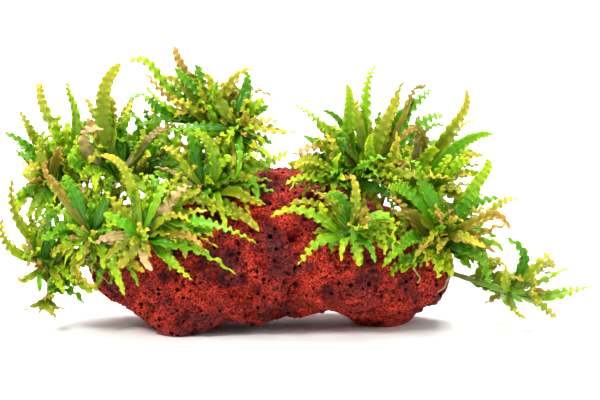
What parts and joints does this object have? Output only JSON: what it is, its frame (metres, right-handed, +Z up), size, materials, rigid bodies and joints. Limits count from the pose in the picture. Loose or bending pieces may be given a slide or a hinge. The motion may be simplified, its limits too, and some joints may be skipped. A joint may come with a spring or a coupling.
{
  "type": "downoi on stone",
  "caption": "Red lava stone with two clumps of downoi, a small water plant with crimped lance-shaped leaves; stands on its own feet.",
  "frame": {"origin": "centre of the footprint box, on the surface that the stone stands on", "axes": "+X along the stone, from the left clump to the trailing shoot on the right; -Y faces the viewer of the picture; +Z up"},
  "size_m": [0.2956, 0.1226, 0.1385],
  "materials": {
    "lava": "rough, crumbly red lava full of pores, a little damp",
    "shoot": "wet young leaves and stalk, green to lime",
    "root": "smooth pale roots",
    "leaf_brown": "orange-brown leaf, satin",
    "leaf_gold": "glossy golden-yellow leaf",
    "leaf_green": "wet glossy deep green leaf",
    "leaf_lime": "wet glossy yellow-green leaf",
    "leaf_olive": "glossy olive leaf with a paler rib",
    "leaf_tan": "pinkish tan leaf underside, satin"
  },
  "bodies": {
    "root": {"end_root": "root", "lava_stone": "lava", "left_back_leaf_1": "leaf_green", "left_back_shoot": "shoot", "left_crest_leaf_1": "leaf_brown", "left_crest_leaf_2": "leaf_brown", "left_crest_leaf_3": "leaf_lime", "left_crest_leaf_4": "leaf_gold", "left_crest_shoot": "shoot", "left_end_leaf_1": "leaf_olive", "left_end_leaf_2": "leaf_green", "left_end_leaf_3": "leaf_lime", "left_end_leaf_4": "leaf_gold", "left_end_shoot": "shoot", "left_far_leaf_1": "leaf_gold", "left_far_leaf_2": "leaf_green", "left_far_leaf_3": "leaf_lime", "left_far_shoot": "shoot", "left_front_leaf_1": "leaf_olive", "left_front_leaf_2": "leaf_green", "left_front_leaf_3": "leaf_green", "left_front_leaf_4": "leaf_brown", "left_front_shoot": "shoot", "left_low_leaf_1": "leaf_gold", "left_low_leaf_2": "leaf_gold", "left_low_leaf_3": "leaf_lime", "left_low_shoot": "shoot", "left_root": "root", "left_tall_leaf_1": "leaf_olive", "left_tall_leaf_2": "leaf_tan", "left_tall_shoot": "shoot", "left_top_leaf_1": "leaf_lime", "left_top_leaf_2": "leaf_green", "left_top_leaf_3": "leaf_gold", "left_top_leaf_4": "leaf_lime", "left_top_shoot": "shoot", "right_back_leaf_1": "leaf_green", "right_back_shoot": "shoot", "right_crest_leaf_1": "leaf_lime", "right_crest_leaf_2": "leaf_green", "right_crest_leaf_3": "leaf_tan", "right_crest_shoot": "shoot", "right_end_leaf_1": "leaf_lime", "right_end_leaf_2": "leaf_green", "right_end_leaf_3": "leaf_green", "right_end_leaf_4": "leaf_brown", "right_end_shoot": "shoot", "right_front_leaf_1": "leaf_green", "right_front_leaf_2": "leaf_lime", "right_front_shoot": "shoot", "right_root": "root", "right_top_leaf_1": "leaf_green", "right_top_leaf_2": "leaf_olive", "right_top_leaf_3": "leaf_lime", "right_top_leaf_4": "leaf_green", "right_top_leaf_5": "leaf_gold", "right_top_shoot": "shoot", "right_trailing_leaf_1": "leaf_lime", "right_trailing_leaf_2": "leaf_green", "right_trailing_shoot": "shoot"}
  },
  "joints": []
}
